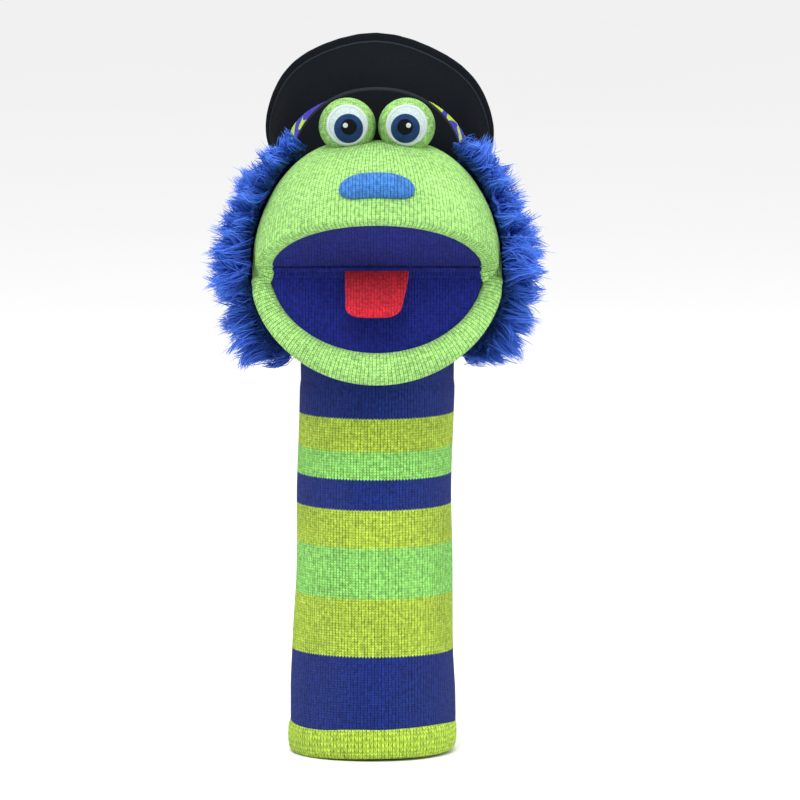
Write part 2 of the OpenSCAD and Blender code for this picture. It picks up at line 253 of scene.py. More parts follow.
def puff(piece, pressure, most, pinned=()):
    """Blows a piece up as cloth under pressure, moves no point past most mm, and keeps it."""
    scene = bpy.context.scene
    rest = np.array([v.co for v in piece.data.vertices])
    cloth = piece.modifiers.new("Cloth", "CLOTH")
    cloth.settings.quality = 5
    cloth.settings.use_pressure = True
    cloth.settings.uniform_pressure_force = pressure
    cloth.settings.effector_weights.gravity = 0
    cloth.point_cache.frame_end = CLOTH_STEPS
    if len(pinned):
        group = piece.vertex_groups.new(name="Pinned")
        group.add([int(i) for i in pinned], 1.0, "REPLACE")
        cloth.settings.vertex_group_mass = "Pinned"
    for step in range(1, CLOTH_STEPS + 1):
        scene.frame_set(step)
    shown = piece.evaluated_get(bpy.context.evaluated_depsgraph_get())
    moved = np.array([v.co for v in shown.data.vertices]) - rest
    piece.modifiers.remove(cloth)
    scene.frame_set(1)
    far = np.linalg.norm(moved, axis=1, keepdims=True)
    rest += moved * np.minimum(1, most * MM / np.maximum(far, NO_MOVE))
    piece.data.vertices.foreach_set("co", rest.astype(np.float32).ravel())
    piece.data.update()


# ---------------------------------------------------------------- materials


class Shader:
    """A material, and short ways to add nodes to it."""

    def __init__(self, name, roughness=0.9, sheen=0.0, specular=0.3):
        self.material = bpy.data.materials.new(name)
        self.material.use_nodes = True
        self.tree = self.material.node_tree
        self.surface = self.tree.nodes["Principled BSDF"]
        self.surface.inputs["Roughness"].default_value = roughness
        self.surface.inputs["Sheen Weight"].default_value = sheen
        self.surface.inputs["Sheen Roughness"].default_value = 0.4
        self.surface.inputs["Specular IOR Level"].default_value = specular

    def add(self, kind, **values):
        node = self.tree.nodes.new(kind)
        for name, value in values.items():
            setattr(node, name, value)
        return node

    def put(self, socket, value):
        if isinstance(value, bpy.types.NodeSocket):
            self.tree.links.new(value, socket)
        elif isinstance(value, tuple) and len(value) == 3 and socket.type == "RGBA":
            socket.default_value = (*value, 1)
        else:
            socket.default_value = value

    def math(self, operation, a, b=0.0, clamp=False):
        node = self.add("ShaderNodeMath", operation=operation, use_clamp=clamp)
        self.put(node.inputs[0], a)
        self.put(node.inputs[1], b)
        return node.outputs[0]

    def mix(self, share, a, b, blend="MIX"):
        node = self.add("ShaderNodeMix", data_type="RGBA", blend_type=blend)
        self.put(node.inputs["Factor"], share)
        self.put(node.inputs[6], a)
        self.put(node.inputs[7], b)
        return node.outputs[2]

    def ramp(self, value, stops, kind="LINEAR"):
        node = self.add("ShaderNodeValToRGB")
        node.color_ramp.interpolation = kind
        while len(node.color_ramp.elements) < len(stops):
            node.color_ramp.elements.new(1.0)
        for element, (place, colour) in zip(node.color_ramp.elements, stops):
            element.position = place
            element.color = (*colour, 1)
        self.put(node.inputs[0], value)
        return node.outputs[0]

    def uv(self, name="Knit"):
        node = self.add("ShaderNodeUVMap", uv_map=name)
        parts = self.add("ShaderNodeSeparateXYZ")
        self.put(parts.inputs[0], node.outputs[0])
        return parts.outputs[0], parts.outputs[1]

    def noise(self, scale, detail=2.0):
        node = self.add("ShaderNodeTexNoise")
        node.inputs["Scale"].default_value = scale
        node.inputs["Detail"].default_value = detail
        self.put(node.inputs["Vector"], self.add("ShaderNodeTexCoord").outputs["Object"])
        return node.outputs["Fac"]

    def bump(self, height, depth):
        node = self.add("ShaderNodeBump")
        node.inputs["Strength"].default_value = 1.0
        node.inputs["Distance"].default_value = depth * MM
        self.put(node.inputs["Height"], height)
        self.put(self.surface.inputs["Normal"], node.outputs[0])

    def colour(self, value):
        self.put(self.surface.inputs["Base Color"], value)
        return self.material


def grey(share):
    return (share, share, share)


def stitches(shader, wale, course):
    """Plain knitting from the flat map: the yarn's height, and the number of the row of stitches."""
    u, v = shader.uv()
    wander = shader.math("MULTIPLY", shader.math("SUBTRACT", shader.noise(60), 0.5), 0.8)
    u = shader.math("ADD", u, wander)
    cell = shader.math("FRACT", shader.math("DIVIDE", u, wale))
    side = shader.math("ABSOLUTE", shader.math("SUBTRACT", cell, 0.5))
    row = shader.math("SUBTRACT", shader.math("DIVIDE", v, course), shader.math("MULTIPLY", side, 1.3))
    turn = shader.math("ABSOLUTE", shader.math("SUBTRACT", shader.math("FRACT", row), 0.5))
    outer = shader.math("MULTIPLY", shader.math("SUBTRACT", side, 0.22), 3.57, clamp=True)
    groove = shader.math("MULTIPLY", shader.math("SUBTRACT", 0.12, side), 4.0, clamp=True)
    hollow = shader.math("ADD", shader.math("POWER", outer, 1.6), groove)
    leg = shader.math("SUBTRACT", 1.0, hollow, clamp=True)
    fall = shader.math("POWER", shader.math("MULTIPLY", turn, 2.0), 2.5)
    end = shader.math("SUBTRACT", 1.0, fall, clamp=True)
    height = shader.math("MULTIPLY", leg, shader.math("ADD", 0.3, shader.math("MULTIPLY", end, 0.7)))
    return height, shader.math("FLOOR", row)


def knitted(name, light, gap_shade, wale=1.85, course=1.4, depth=0.9, sheen=0.04):
    """Plain knitting in one yarn, or in the colours that the two colour arguments give for a row of
    stitches. The second colour is painted shade, which the yarn goes over to in the hollows between the
    stitches.
    """
    shader = Shader(name, roughness=0.95, sheen=sheen, specular=0.15)
    height, row = stitches(shader, wale, course)
    light = light(shader, row) if callable(light) else light
    gap_shade = gap_shade(shader, row) if callable(gap_shade) else gap_shade
    fibre = shader.noise(1400, 3.0)
    yarn = shader.math("MULTIPLY", height, shader.math("ADD", 0.7, shader.math("MULTIPLY", fibre, 0.6)))
    colour = shader.mix(shader.math("POWER", yarn, 0.75, clamp=True), gap_shade, light)
    patch = shader.ramp(shader.noise(35, 3.0), [(0.3, grey(0.9)), (0.7, grey(1.06))])
    fleck = shader.ramp(shader.noise(520, 1.0), [(0.3, grey(0.68)), (0.7, grey(1.24))])
    shader.bump(shader.math("ADD", height, shader.math("MULTIPLY", fibre, 0.15)), depth)
    colour = shader.mix(1.0, colour, patch, "MULTIPLY")
    return shader.colour(shader.mix(1.0, colour, fleck, "MULTIPLY"))


def striped(stops):
    """The colour of each row of stitches on the sleeve, from stripes given by their lower edge."""

    def colour(shader, row):
        share = shader.math("DIVIDE", shader.math("MULTIPLY", row, SLEEVE_COURSE), STRIPES_TOP)
        return shader.ramp(share, [(low / STRIPES_TOP, c) for low, c in stops], "CONSTANT")

    return colour


BLUE = (0.014, 0.039, 0.29)
OLIVE = (0.62, 0.88, 0.09)
BRIGHT = (0.4, 0.98, 0.21)
LIME = (0.62, 0.9, 0.095)
FACE = (0.49, 0.91, 0.28)
SLEEVE_COURSE = 1.4
STRIPES_TOP = 215
# Each stripe's lower edge above the arm opening, in millimetres, and its yarn
STRIPES = [
    (0, BLUE),
    (56.5, OLIVE),
    (88.6, BRIGHT),
    (117.4, OLIVE),
    (137, BLUE),
    (154, BRIGHT),
    (169.5, OLIVE),
    (187.7, BLUE),
]


def darker(stops, share):
    return [(low, tuple(x * share for x in colour)) for low, colour in stops]


def brushed(name, colour, light):
    """Smooth brushed cloth: fine short fibres over a close weave."""
    shader = Shader(name, roughness=0.95, specular=0.04)
    u, v = shader.uv()
    nap = shader.noise(900, 4.0)
    twill = shader.math("SINE", shader.math("MULTIPLY", shader.math("ADD", u, v), 9.0))
    height = shader.math("ADD", nap, shader.math("MULTIPLY", twill, 0.15))
    shader.bump(height, 0.12)
    cloud = shader.noise(28, 3.0)
    return shader.colour(shader.mix(shader.math("MULTIPLY", nap, cloud), colour, light))


SATIN_TURNS = 150.0


def satin(name, colour, light):
    """Satin stitches that run out from the centre of a round patch, where u is the angle."""
    shader = Shader(name, roughness=0.6, specular=0.1)
    angle = shader.uv()[0]
    thread = shader.math("ABSOLUTE", shader.math("SINE", shader.math("MULTIPLY", angle, SATIN_TURNS)))
    fuzz = shader.noise(1600, 2.0)
    shader.bump(shader.math("ADD", thread, shader.math("MULTIPLY", fuzz, 0.4)), 0.16)
    # The thread's colour goes darker between the stitches, painted shade, and its fuzz varies it at
    # random.
    return shader.colour(shader.mix(shader.math("MULTIPLY", thread, fuzz), colour, light))


def felt(name, colour, light):
    shader = Shader(name, roughness=0.95, sheen=0.05, specular=0.15)
    fuzz = shader.noise(1300, 5.0)
    shader.bump(fuzz, 0.25)
    share = shader.ramp(fuzz, [(0.35, grey(0)), (0.65, grey(1))])
    return shader.colour(shader.mix(share, colour, light))


def patterned(name):
    """A woven band: lime squiggles on violet blue."""
    shader = Shader(name, roughness=0.75, sheen=0.02)
    u, v = shader.uv()
    warp = shader.math("MULTIPLY", shader.math("SUBTRACT", shader.noise(38, 1.0), 0.5), 26.0)
    wave = shader.math("SINE", shader.math("ADD", shader.math("MULTIPLY", u, 0.42), warp))
    tail = shader.math("SINE", shader.math("ADD", shader.math("MULTIPLY", v, 0.5), warp))
    ink = shader.math("ADD", wave, shader.math("MULTIPLY", tail, 0.7))
    pattern = shader.ramp(ink, [(0.0, (0.05, 0.035, 0.5)), (0.3, (0.5, 0.72, 0.06))], "CONSTANT")
    threads = [shader.math("SINE", shader.math("MULTIPLY", way, 14.0)) for way in (u, v)]
    shader.bump(shader.math("MULTIPLY", *threads), 0.12)
    shade = shader.ramp(shader.noise(700, 2.0), [(0.3, grey(0.8)), (0.7, grey(1.1))])
    return shader.colour(shader.mix(1.0, pattern, shade, "MULTIPLY"))


def fur(name):
    """Long silky pile: u is the strand's own number and v the way along it."""
    shader = Shader(name, roughness=0.55, specular=0.25)
    u, v = shader.uv("OFBake")
    root, middle, tip = (0.012, 0.05, 0.3), (0.032, 0.11, 0.62), (0.09, 0.25, 0.92)
    # The strands go darker towards the root and lighter towards the tip: painted shade deep in the pile.
    along = shader.ramp(v, [(0.0, root), (0.45, middle), (1.0, tip)])
    own = shader.ramp(u, [(0.0, (0.6, 0.62, 0.7)), (0.5, grey(0.95)), (1.0, (1.6, 1.45, 1.15))])
    return shader.colour(shader.mix(1.0, along, own, "MULTIPLY"))


def fluff(name):
    """The short, dense underfur at the roots."""
    shader = Shader(name, roughness=0.95)
    lie = shader.noise(260, 4.0)
    shader.bump(lie, 1.6)
    return shader.colour(shader.mix(lie, (0.008, 0.026, 0.19), (0.038, 0.11, 0.6)))


def plain(name, colour):
    """The pale studio floor."""
    shader = Shader(name, roughness=1.0, specular=0.0)
    return shader.colour(shader.mix(shader.noise(3.0), colour, tuple(0.98 * x for x in colour)))


FACE_SHADOW = (0.09, 0.27, 0.02)
LINING = (0.014, 0.026, 0.3)
# Each knit's second colour is painted shade for the hollows between its stitches.
blue_knit = knitted("blue_knit", BLUE, (0.002, 0.004, 0.03))
lining_knit = knitted("lining_knit", LINING, (0.002, 0.003, 0.04), wale=1.7, course=1.3, depth=0.7)
face_knit = knitted("face_knit", FACE, FACE_SHADOW, wale=2.2, course=1.5, depth=0.8)
eye_knit = knitted("eye_knit", FACE, FACE_SHADOW, wale=1.9, course=1.4, depth=0.8)
hem_knit = knitted("hem_knit", LIME, (0.1, 0.18, 0.01), wale=2.1, course=1.9, depth=0.9)
nose_knit = knitted("nose_knit", (0.085, 0.34, 0.93), (0.006, 0.035, 0.16), wale=1.9, course=1.4)
tongue_knit = knitted("tongue_knit", (0.95, 0.028, 0.06), (0.35, 0.004, 0.012), wale=1.6, course=1.25)
shadow = striped(darker(STRIPES, 0.1))
stripe_knit = knitted("stripe_knit", striped(STRIPES), shadow, course=SLEEVE_COURSE)
black_cloth = brushed("black_cloth", (0.004, 0.005, 0.007), (0.01, 0.0125, 0.015))
# The trim is a lighter black than the cloth: a painted highlight along the rim seam and the visor's
# binding.
black_trim = brushed("black_trim", (0.013, 0.016, 0.019), (0.036, 0.042, 0.05))
band_cloth = patterned("band_cloth")
white_felt = felt("white_felt", (0.3, 0.38, 0.37), (0.44, 0.53, 0.52))
white_thread = satin("white_thread", (0.5, 0.58, 0.58), (0.85, 0.88, 0.88))
iris_thread = satin("iris_thread", (0.008, 0.026, 0.1), (0.028, 0.09, 0.24))
pupil_thread = satin("pupil_thread", (0.001, 0.002, 0.003), (0.006, 0.008, 0.012))
fur_pile = fur("fur_pile")
underfur = fluff("underfur")


# ---------------------------------------------------------------- sleeve and neck

AROUND = 161
NECK_FOOT_Z = 199
SEAM_Z = 205
THROAT_FOOT_Z = 224


def wobble(angle, z):
    """The slight unevenness of soft knit on an arm."""
    return (0.4 * np.sin(2 * angle + z / 31) + 0.25 * np.sin(3 * angle - z / 19 + 1)
            + 0.18 * np.sin(5 * angle + z / 13))


def sleeve_outline(z):
    """The sleeve's radius at each height: it widens towards the hem."""
    heights = [0, 20, 37, 54, 95, 145, 203, 209]
    return np.interp(z, heights, [2.4, 2.5, 2.2, 1.3, 0.3, 0.1, -0.4, -1.2]) + SLEEVE_R


def sleeve_lean(z):
    """How far to one side the sleeve's middle is at each height."""
    return np.interp(z, [0, 30, 95, 145, 205], [-1.6, -1.2, -0.8, -0.4, 1.2])


def wall(low, high, thickness, radius, lean):
    """A tube wall with rounded ends: up the outside, over, down the inside and back."""
    rows, end_rows = 90, 5
    side = np.linspace(0, 1, rows)
    over = np.linspace(0, math.pi, end_rows + 2)[1:-1]
    flat, full = np.zeros(rows), np.ones(rows)
    in_step, out_step = (1 - np.cos(over)) / 2, (1 + np.cos(over)) / 2
    level = np.concatenate([side, np.ones(end_rows), side[::-1], np.zeros(end_rows), [0]])
    depth = np.concatenate([flat, in_step, full, out_step, [0]])
    proud = np.concatenate([flat, np.sin(over), flat, -np.sin(over), [0]])
    angle = np.linspace(0, FULL_TURN, AROUND)
    level, angle = np.meshgrid(level, angle, indexing="ij")
    z = low + (high(angle) - low) * level
    r = radius(z) + wobble(angle, z) - thickness * depth[:, None]
    x = r * np.cos(angle) + lean(z)
    points = stacked(x, r * np.sin(angle), z + 0.5 * thickness * proud[:, None])
    return points, np.stack([angle * SLEEVE_R, z], -1)


def build_sleeve():
    overlap, foot, thickness = 3, 9, 3

    def top(angle):
        return 0 * angle + NECK_TURN_Z + overlap

    points, uv = wall(foot, top, thickness, sleeve_outline, sleeve_lean)
    piece = add_grid("sleeve_skin", points, uv)
    bend = ((0, 0, 0.13), (0, 0, NECK_TURN_Z * MM))
    finish_piece(piece, stripe_knit, ("sleeve", "neck", *bend), "sleeve_stripes", "sleeve_knit")


def build_hem():
    """The thick rolled hem, which sits a little higher on one side."""
    half_w, half_h, tilt = 3.4, HEM_TOP / 2 + 0.4, 0.6
    turn, angle = spread(33, AROUND, 0, FULL_TURN, 0, FULL_TURN)
    squared = 0.72
    out = signed_power(np.cos(turn), squared)
    up = signed_power(np.sin(turn), squared)
    r = HEM_R - half_w + half_w * out + 0.3 * wobble(angle * 2, up * 9)
    z = half_h + 0.4 + half_h * up + tilt * (1 + np.cos(angle)) + 0.35 * np.sin(3 * angle)
    points = stacked(r * np.cos(angle) + sleeve_lean(0), r * np.sin(angle), z)
    piece = add_grid("rolled_hem", points, np.stack([angle * HEM_R, turn * 6.3], -1))
    finish_piece(piece, hem_knit, "sleeve", "lime_knit", "cuff_hem")


def build_neck():
    """The knit tube goes up into the head, lower at the front where the jaw swings."""
    front, back = 231, 262

    def top(angle):
        return back + (front - back) * smooth_step((-np.sin(angle) - 0.15) / 0.6)

    def outline(z):
        return sleeve_outline(NECK_FOOT_Z + 0 * z) - 0.6 + np.clip(z - 232, 0, 30) * 0.03

    foot, thickness = 200, 2.6
    points, uv = wall(foot, top, thickness, outline, sleeve_lean)
    piece = add_grid("neck_skin", points, uv)
    bend = ((0, 0, 0.208), (0, 0, 0.235))
    finish_piece(piece, blue_knit, ("neck", "head", *bend), "blue_knit", "neck_knit")


# ---------------------------------------------------------------- face

TOP_LIP_DIP = 2.3
FACE_SKIN_R = FACE_R - 1.8


def face_radius(turn, rise):
    """The face is egg-shaped: higher at its sides than at its front."""
    high = 80 + (17 * np.cos(turn) ** 2 - 6) * np.cos(rise) ** 0.7
    return 1 / np.sqrt((np.cos(rise) / FACE_SKIN_R) ** 2 + (np.sin(rise) / high) ** 2)


def palate_edge(turn):
    """Distance from the face's axis to the edge of the palate, in each direction."""
    a = (np.cos(turn) / MOUTH_HALF_W) ** 2 + (np.sin(turn) / PALATE_LEN) ** 2
    b = 2 * FACE_BACK * np.sin(turn) / PALATE_LEN**2
    c = (FACE_BACK / PALATE_LEN) ** 2 - 1
    return (b + np.sqrt(b * b - 4 * a * c)) / (2 * a)


def build_face():
    """The face, from inside the upper lip, round its roll and up to the cap, in one knitted skin."""
    lip_rows, face_rows = 16, 64
    turn = np.radians(np.linspace(-24, 204, 190))
    part = np.linspace(0, 1, lip_rows, endpoint=False)[:, None]
    inner = palate_edge(turn)
    half = (FACE_SKIN_R - inner) / 2
    front = smooth_step((np.sin(turn) - 0.06) / 0.16)
    pinch = 3.0 * np.exp(-(((np.sin(turn) - 0.1) / 0.09) ** 2)) * (np.sin(turn) > -0.5)
    dip = 0.7 + (TOP_LIP_DIP - 0.7) * np.abs(np.sin(turn)) ** 4
    roll = math.pi * (1 + part)
    lip_out = inner + half + half * np.cos(roll)
    lip_up = dip * np.sin(roll) + 2.5 * np.clip(0.2 - part, 0, 1) / 0.2
    wall_out = FACE_SKIN_R - 8 * (1 - part) ** 1.5
    wall_up = -8 * (1 - part)
    out = wall_out + (lip_out - wall_out) * front
    up = wall_up + (lip_up - wall_up) * front
    rise = np.radians(np.linspace(0, 88, face_rows))[:, None]
    dome = face_radius(turn[None, :], rise)
    out = np.concatenate([out, dome * np.cos(rise)])
    up = np.concatenate([up, dome * np.sin(rise) * np.ones_like(turn)])
    out = out - pinch * np.exp(-((up / 9) ** 2))
    points = stacked(out * np.cos(turn), FACE_BACK - out * np.sin(turn), up)
    length = np.concatenate([[0], np.cumsum(np.linalg.norm(np.diff(points[:, 95], axis=0), axis=1))])
    uv = np.stack(np.meshgrid(length, turn * FACE_R * 0.93, indexing="ij")[::-1], -1)
    piece = add_grid("face_skin", at_head(points), uv, closed=False, flip=True)
    thicken(piece, 1.2)
    finish_piece(piece, face_knit, "head", "green_knit", "head_cover", "head_padding", "finger_pocket")


def build_nose():
    """A stuffed bean that lies across the face and follows its curve."""
    along, around = spread(61, 41, -1, 1, 0, FULL_TURN)
    r = NOSE_R * np.sqrt(1 - np.abs(along) ** 3)
    hollow = 1.3 * np.clip(-np.sin(around), 0, 1) ** 2 * np.cos(math.pi * along / 2) ** 2
    x = NOSE_HALF_W * along
    reach = math.sqrt(FACE_R**2 - NOSE_UP**2) - FACE_BACK + 1
    y = -reach + 0.006 * x**2 - 0.82 * r * np.cos(around)
    z = NOSE_UP - 1.4 + r * np.sin(around) - 0.0015 * x**2 + hollow
    piece = add_grid("nose_bean", at_head(stacked(x, y, z)), np.stack([x, around * NOSE_R], -1))
    puff(piece, 3, 1.5)
    finish_piece(piece, nose_knit, "head", "nose_knit", "nose_cover", "nose_stuffing")


# ---------------------------------------------------------------- eyes


def patch(centre, radius, low, high, shift=(0, 0)):
    """A round embroidered patch on an eye: a grid from its middle out, over its edge and under."""
    crown, part = 0.25, np.linspace(0, 1, 14)
    out = np.concatenate([part, [1.02, 1.0, 0.9]])
    level = np.concatenate([high + crown * (1 - part**2), [(low + high) / 2, low, low]])
    level[12:14] -= [0.05, 0.15]
    out, angle = np.meshgrid(out * radius, np.linspace(0, FULL_TURN, 65), indexing="ij")
    dx, dz = out * np.cos(angle) + shift[0], out * np.sin(angle) + shift[1]
    depth = np.sqrt(np.maximum(EYE_R**2 - dx**2 - dz**2, 0)) + level[:, None]
    return looking(centre, dx, depth, dz), np.stack([angle, out], -1)


def looking(centre, dx, depth, dz):
    """Points in front of an eye ball, in the direction that the eyes look."""
    c, s = cos_sin(EYE_LOOK)
    return at_head(centre + stacked(dx, -depth * c - dz * s, -depth * s + dz * c))


def ring(centre, radius, thick, low):
    """The satin-stitched rim round a patch."""
    around, angle = spread(13, 97, 0, FULL_TURN, 0, FULL_TURN)
    out = radius + thick * np.cos(around)
    level = low + 0.6 * thick * np.sin(around)
    depth = np.sqrt(np.maximum(EYE_R**2 - out**2, 0)) + level
    return looking(centre, out * np.cos(angle), depth, out * np.sin(angle)), np.stack([angle, out], -1)


def build_eye(side, name):
    centre = EYE * [side, 1, 1]
    rise, turn = spread(49, 65, -math.pi / 2, math.pi / 2, 0, FULL_TURN)
    r = EYE_R * (1 + 0.012 * np.sin(3 * turn) * np.cos(rise))
    ball = stacked(r * np.sin(rise), r * np.cos(rise) * np.cos(turn), r * np.cos(rise) * np.sin(turn))
    ball[..., 2] *= 0.985
    uv = np.stack([turn * EYE_R, rise * EYE_R], -1)
    piece = add_grid(f"eye_ball_{name}_skin", at_head(centre + ball), uv)
    finish_piece(piece, eye_knit, "head", "green_knit", f"eye_ball_{name}", f"eye_stuffing_{name}")
    white = add_grid(f"eye_disc_{name}", *patch(centre, 11.0, -0.3, 0.35))
    finish_piece(white, white_felt, "head", "white_stitching", f"eye_white_{name}")
    rim = add_grid(f"eye_rim_{name}", *ring(centre, 10.7, 0.75, 0.35))
    finish_piece(rim, white_thread, "head", "white_stitching")
    # Each stitched circle: its radius, lowest and highest level on the ball, and where it looks
    circles = [
        ("iris", iris_thread, "blue", 7.8, 0.1, 0.95, (-0.7 * side, -1.9)),
        ("pupil", pupil_thread, "black", 4.3, 0.6, 1.4, (-0.9 * side, -1.2)),
        ("glint", white_thread, "white", 1.35, 1.2, 1.85, (1.0 * side, -0.4)),
    ]
    for part, thread, yarn, radius, low, high, gaze in circles:
        circle = add_grid(f"eye_{part}_{name}_thread", *patch(centre, radius, low, high, gaze))
        finish_piece(circle, thread, "head", f"{yarn}_stitching", f"eye_{part}_{name}")


# ---------------------------------------------------------------- mouth


def lining(name, place, half_w, length, lift, hollow):
    """A knitted mouth lining over its stiff board, not stuffed, with its middle a little off flat."""
    share, angle = spread(44, 97, 0, 1, 0, math.pi)
    flat = stacked(half_w * share * np.cos(angle), -length * share * np.sin(angle), 0)
    x, y = flat[..., 0], flat[..., 1]
    inside = 1 - (x / half_w) ** 2 - (y / length) ** 2
    ripple = 0.25 * np.sin(x / 9 + y / 13) * np.sin(y / 7)
    flat[..., 2] = lift + hollow * np.clip(inside, 0, 1) ** 0.5 + ripple
    up = name == "palate_lining"
    piece = add_grid(name, place(flat), np.stack([x, y], -1), closed=False, flip=up)
    return thicken(piece, 1.0)


def build_mouth():
    half_w = MOUTH_HALF_W + 0.6
    palate = lining("palate_lining", at_head, half_w, PALATE_LEN + 0.6, 0.4, 0.6)
    finish_piece(palate, lining_knit, "head", "blue_knit", "upper_mouth_panel", "upper_mouth_board")
    lower = lining("lower_lining", at_jaw, half_w, JAW_LEN + 0.8, -0.4, -0.5)
    finish_piece(lower, lining_knit, "jaw", "blue_knit", "lower_mouth_panel", "lower_mouth_board")
    build_fold()


def build_fold():
    """The strip of lining that turns from the palate to the lower panel at the fold."""
    reach, back = 4.0, 1.3
    turn, along = spread(17, 90, 0, 1, -1, 1)
    upper = np.radians(180 - HEAD_TILT)
    lower = np.radians(180 + JAW_DROP)
    angle = upper + (lower - upper) * turn
    r = back + (reach - back) * np.abs(2 * turn - 1) ** 2.5
    x = along * (MOUTH_HALF_W + 2)
    y = HINGE[1] + r * np.cos(angle) + 0.6
    z = HINGE[2] + r * np.sin(angle)
    piece = add_grid("mouth_fold", stacked(x, y, z), np.stack([x, turn * 12], -1), closed=False)
    thicken(piece, 0.8)
    start = (0, (HINGE[1] - 1.0) * MM, (HINGE[2] + 1.4) * MM)
    end = (0, (HINGE[1] - 1.0) * MM, (HINGE[2] - 2.4) * MM)
    finish_piece(piece, lining_knit, ("head", "jaw", start, end), "blue_knit")


def lip_radius(angle):
    return LIP_SIDE_R + (LIP_FRONT_R - LIP_SIDE_R) * np.sin(angle) ** 2


def lip_centre(angle):
    """The middle of the lower lip's roll, which hangs lower towards the mouth corners."""
    mid_w = MOUTH_HALF_W + LIP_SIDE_R + 0.3
    mid_len = JAW_LEN + LIP_FRONT_R + 0.4
    level = np.minimum(1, mid_len * np.sin(angle) * SHUT_SLOPE - lip_radius(angle) - 0.2)
    centre = stacked(mid_w * np.cos(angle), -mid_len * np.sin(angle), level)
    out = stacked(mid_len * np.cos(angle), -mid_w * np.sin(angle), 0)
    return centre, normalised(out)


def build_lower_lip():
    """The stuffed roll of the lower lip, closed at both mouth corners."""
    first = math.radians(0.6)
    angle = np.linspace(first, math.pi - first, 190)
    centre, out = lip_centre(angle)
    ends = np.minimum(angle - first, math.pi - first - angle) * 53
    close = np.sqrt(np.clip(1 - (1 - np.clip(ends / 4.5, 0, 1)) ** 2, 0, 1))
    crease = 1 - 0.1 * np.exp(-((ends - 6) / 3) ** 2)
    r = (lip_radius(angle) * close * crease)[None, :]
    around = np.linspace(0, FULL_TURN, 49)[:, None]
    up = np.array([0, 0, 1])
    lift = (r * np.sin(around))[..., None] * up
    side = (r * np.cos(around))[..., None] * out[None]
    points = at_jaw(centre[None] + side + lift)
    length = np.concatenate([[0], np.cumsum(np.linalg.norm(np.diff(centre, axis=0), axis=1))]) * 1.1
    uv = np.stack([length[None, :] + 0 * around, around * 7.5 + 0 * length[None, :]], -1)
    piece = add_grid("lower_lip", points, uv)
    finish_piece(piece, face_knit, "jaw", "green_knit", "jaw_lip", "jaw_lip_stuffing")


CHIN_W = 60.0
CHIN_START = 5.0


def chin_points(share, angle):
    """The bowl under the jaw, from the lip's underside to its lowest line."""
    length = JAW_LEN + 8
    depth = JAW_DEPTH + 0.3
    x = CHIN_W * share * np.cos(angle)
    y = -CHIN_START - (length - CHIN_START) * share * np.sin(angle)
    z = -3.5 - (depth - 3.5) * np.sqrt(np.clip(1 - share**2.6, 0, 1))
    return stacked(x, y, z)


def build_chin():
    share, angle = spread(40, 97, 1, 0, 0, math.pi)
    points = at_jaw(chin_points(share, angle))
    piece = add_grid("chin_skin", points, closed=False)
    thicken(piece, 1.2)
    finish_piece(piece, face_knit, "jaw", "green_knit", "chin_cover", "thumb_pocket")


def neck_ring(angle, proud):
    """The throat's foot on the neck, this far proud of the sleeve's outline."""
    r = sleeve_outline(NECK_FOOT_Z) + proud
    return stacked(r * np.cos(angle) + sleeve_lean(SEAM_Z), r * np.sin(angle), THROAT_FOOT_Z)


def build_throat():
    """The knit between the front of the neck and the back of the chin."""
    part, along = spread(40, 61, 0, 1, -1, 1)
    part = 1 - (1 - part) ** 1.7
    share = np.abs(along)
    top = at_jaw(chin_points(share, np.where(along < 0, math.pi, 0.0)))
    angle = -math.pi / 2 + along * 1.25
    foot = neck_ring(angle, 0.1)
    points = foot + (top - foot) * part[..., None]
    points[..., 1] += 2.0 * np.sin(math.pi * part)
    piece = add_grid("throat_skin", points, closed=False)
    thicken(piece, 1.2)
    start, end = (0, -0.040, 0.248), (0, -0.0385, 0.257)
    finish_piece(piece, blue_knit, ("head", "jaw", start, end), "blue_knit")


def build_throat_side(side, name):
    """The knit from the side of the neck up to the cheek, behind the mouth corner."""
    part, along = spread(22, 24, 0, 1, 0, 1)
    foot = neck_ring(-math.pi / 2 + side * (1.15 + 1.0 * along), -0.3)
    x = side * (60 + 5 * along) + LEAN[0]
    top = stacked(x, HINGE[1] + 4 + 30 * along, HINGE[2] - 7 + 4 * along)
    points = foot + (top - foot) * part[..., None]
    piece = add_grid(f"throat_side_{name}", points, closed=False, flip=side > 0)
    thicken(piece, 1.2)
    finish_piece(piece, blue_knit, "head", "blue_knit")


def build_tongue():
    """A soft flap that leaves the fold and droops a little, thicker at its rounded tip."""
    length = 37.0
    along, around = spread(45, 57, 0, 1, 0, FULL_TURN)
    squared = 0.55
    c = signed_power(np.cos(around), squared)
    s = signed_power(np.sin(around), squared)
    tip = np.clip((along - 0.78) / 0.22, 0, 1)
    half_w = TONGUE_HALF_W * (0.97 + 0.03 * np.cos(4 * along)) * np.sqrt(1 - 0.62 * tip**2.4)
    half_t = (1.0 + 2.1 * along) * np.sqrt(np.clip(1 - tip**6, 0, 1))
    x = half_w * c - 0.9 * along - 3.2 * along**2 * np.maximum(c, 0)
    y = 0.5 - length * along
    groove = 1.1 * np.exp(-(((along - 0.8) / 0.022) ** 2)) * np.clip(2 * s, 0, 1)
    z = half_t * s - groove - 1.2 * along**2 + 0.35 * (x / TONGUE_HALF_W) ** 2
    piece = add_grid("tongue_flap", at_tongue(stacked(x, y, z)), np.stack([x, y + 0 * x], -1))
    finish_piece(piece, tongue_knit, "tongue", "red_knit", "tongue_cover", "tongue_stuffing")


# ---------------------------------------------------------------- cap


def rim_frame(points):
    """Points in the frame of the crown's tilted rim, as points in the head's frame."""
    return about_x(points, -RIM_TILT) + [0, RIM_BACK, RIM_UP]


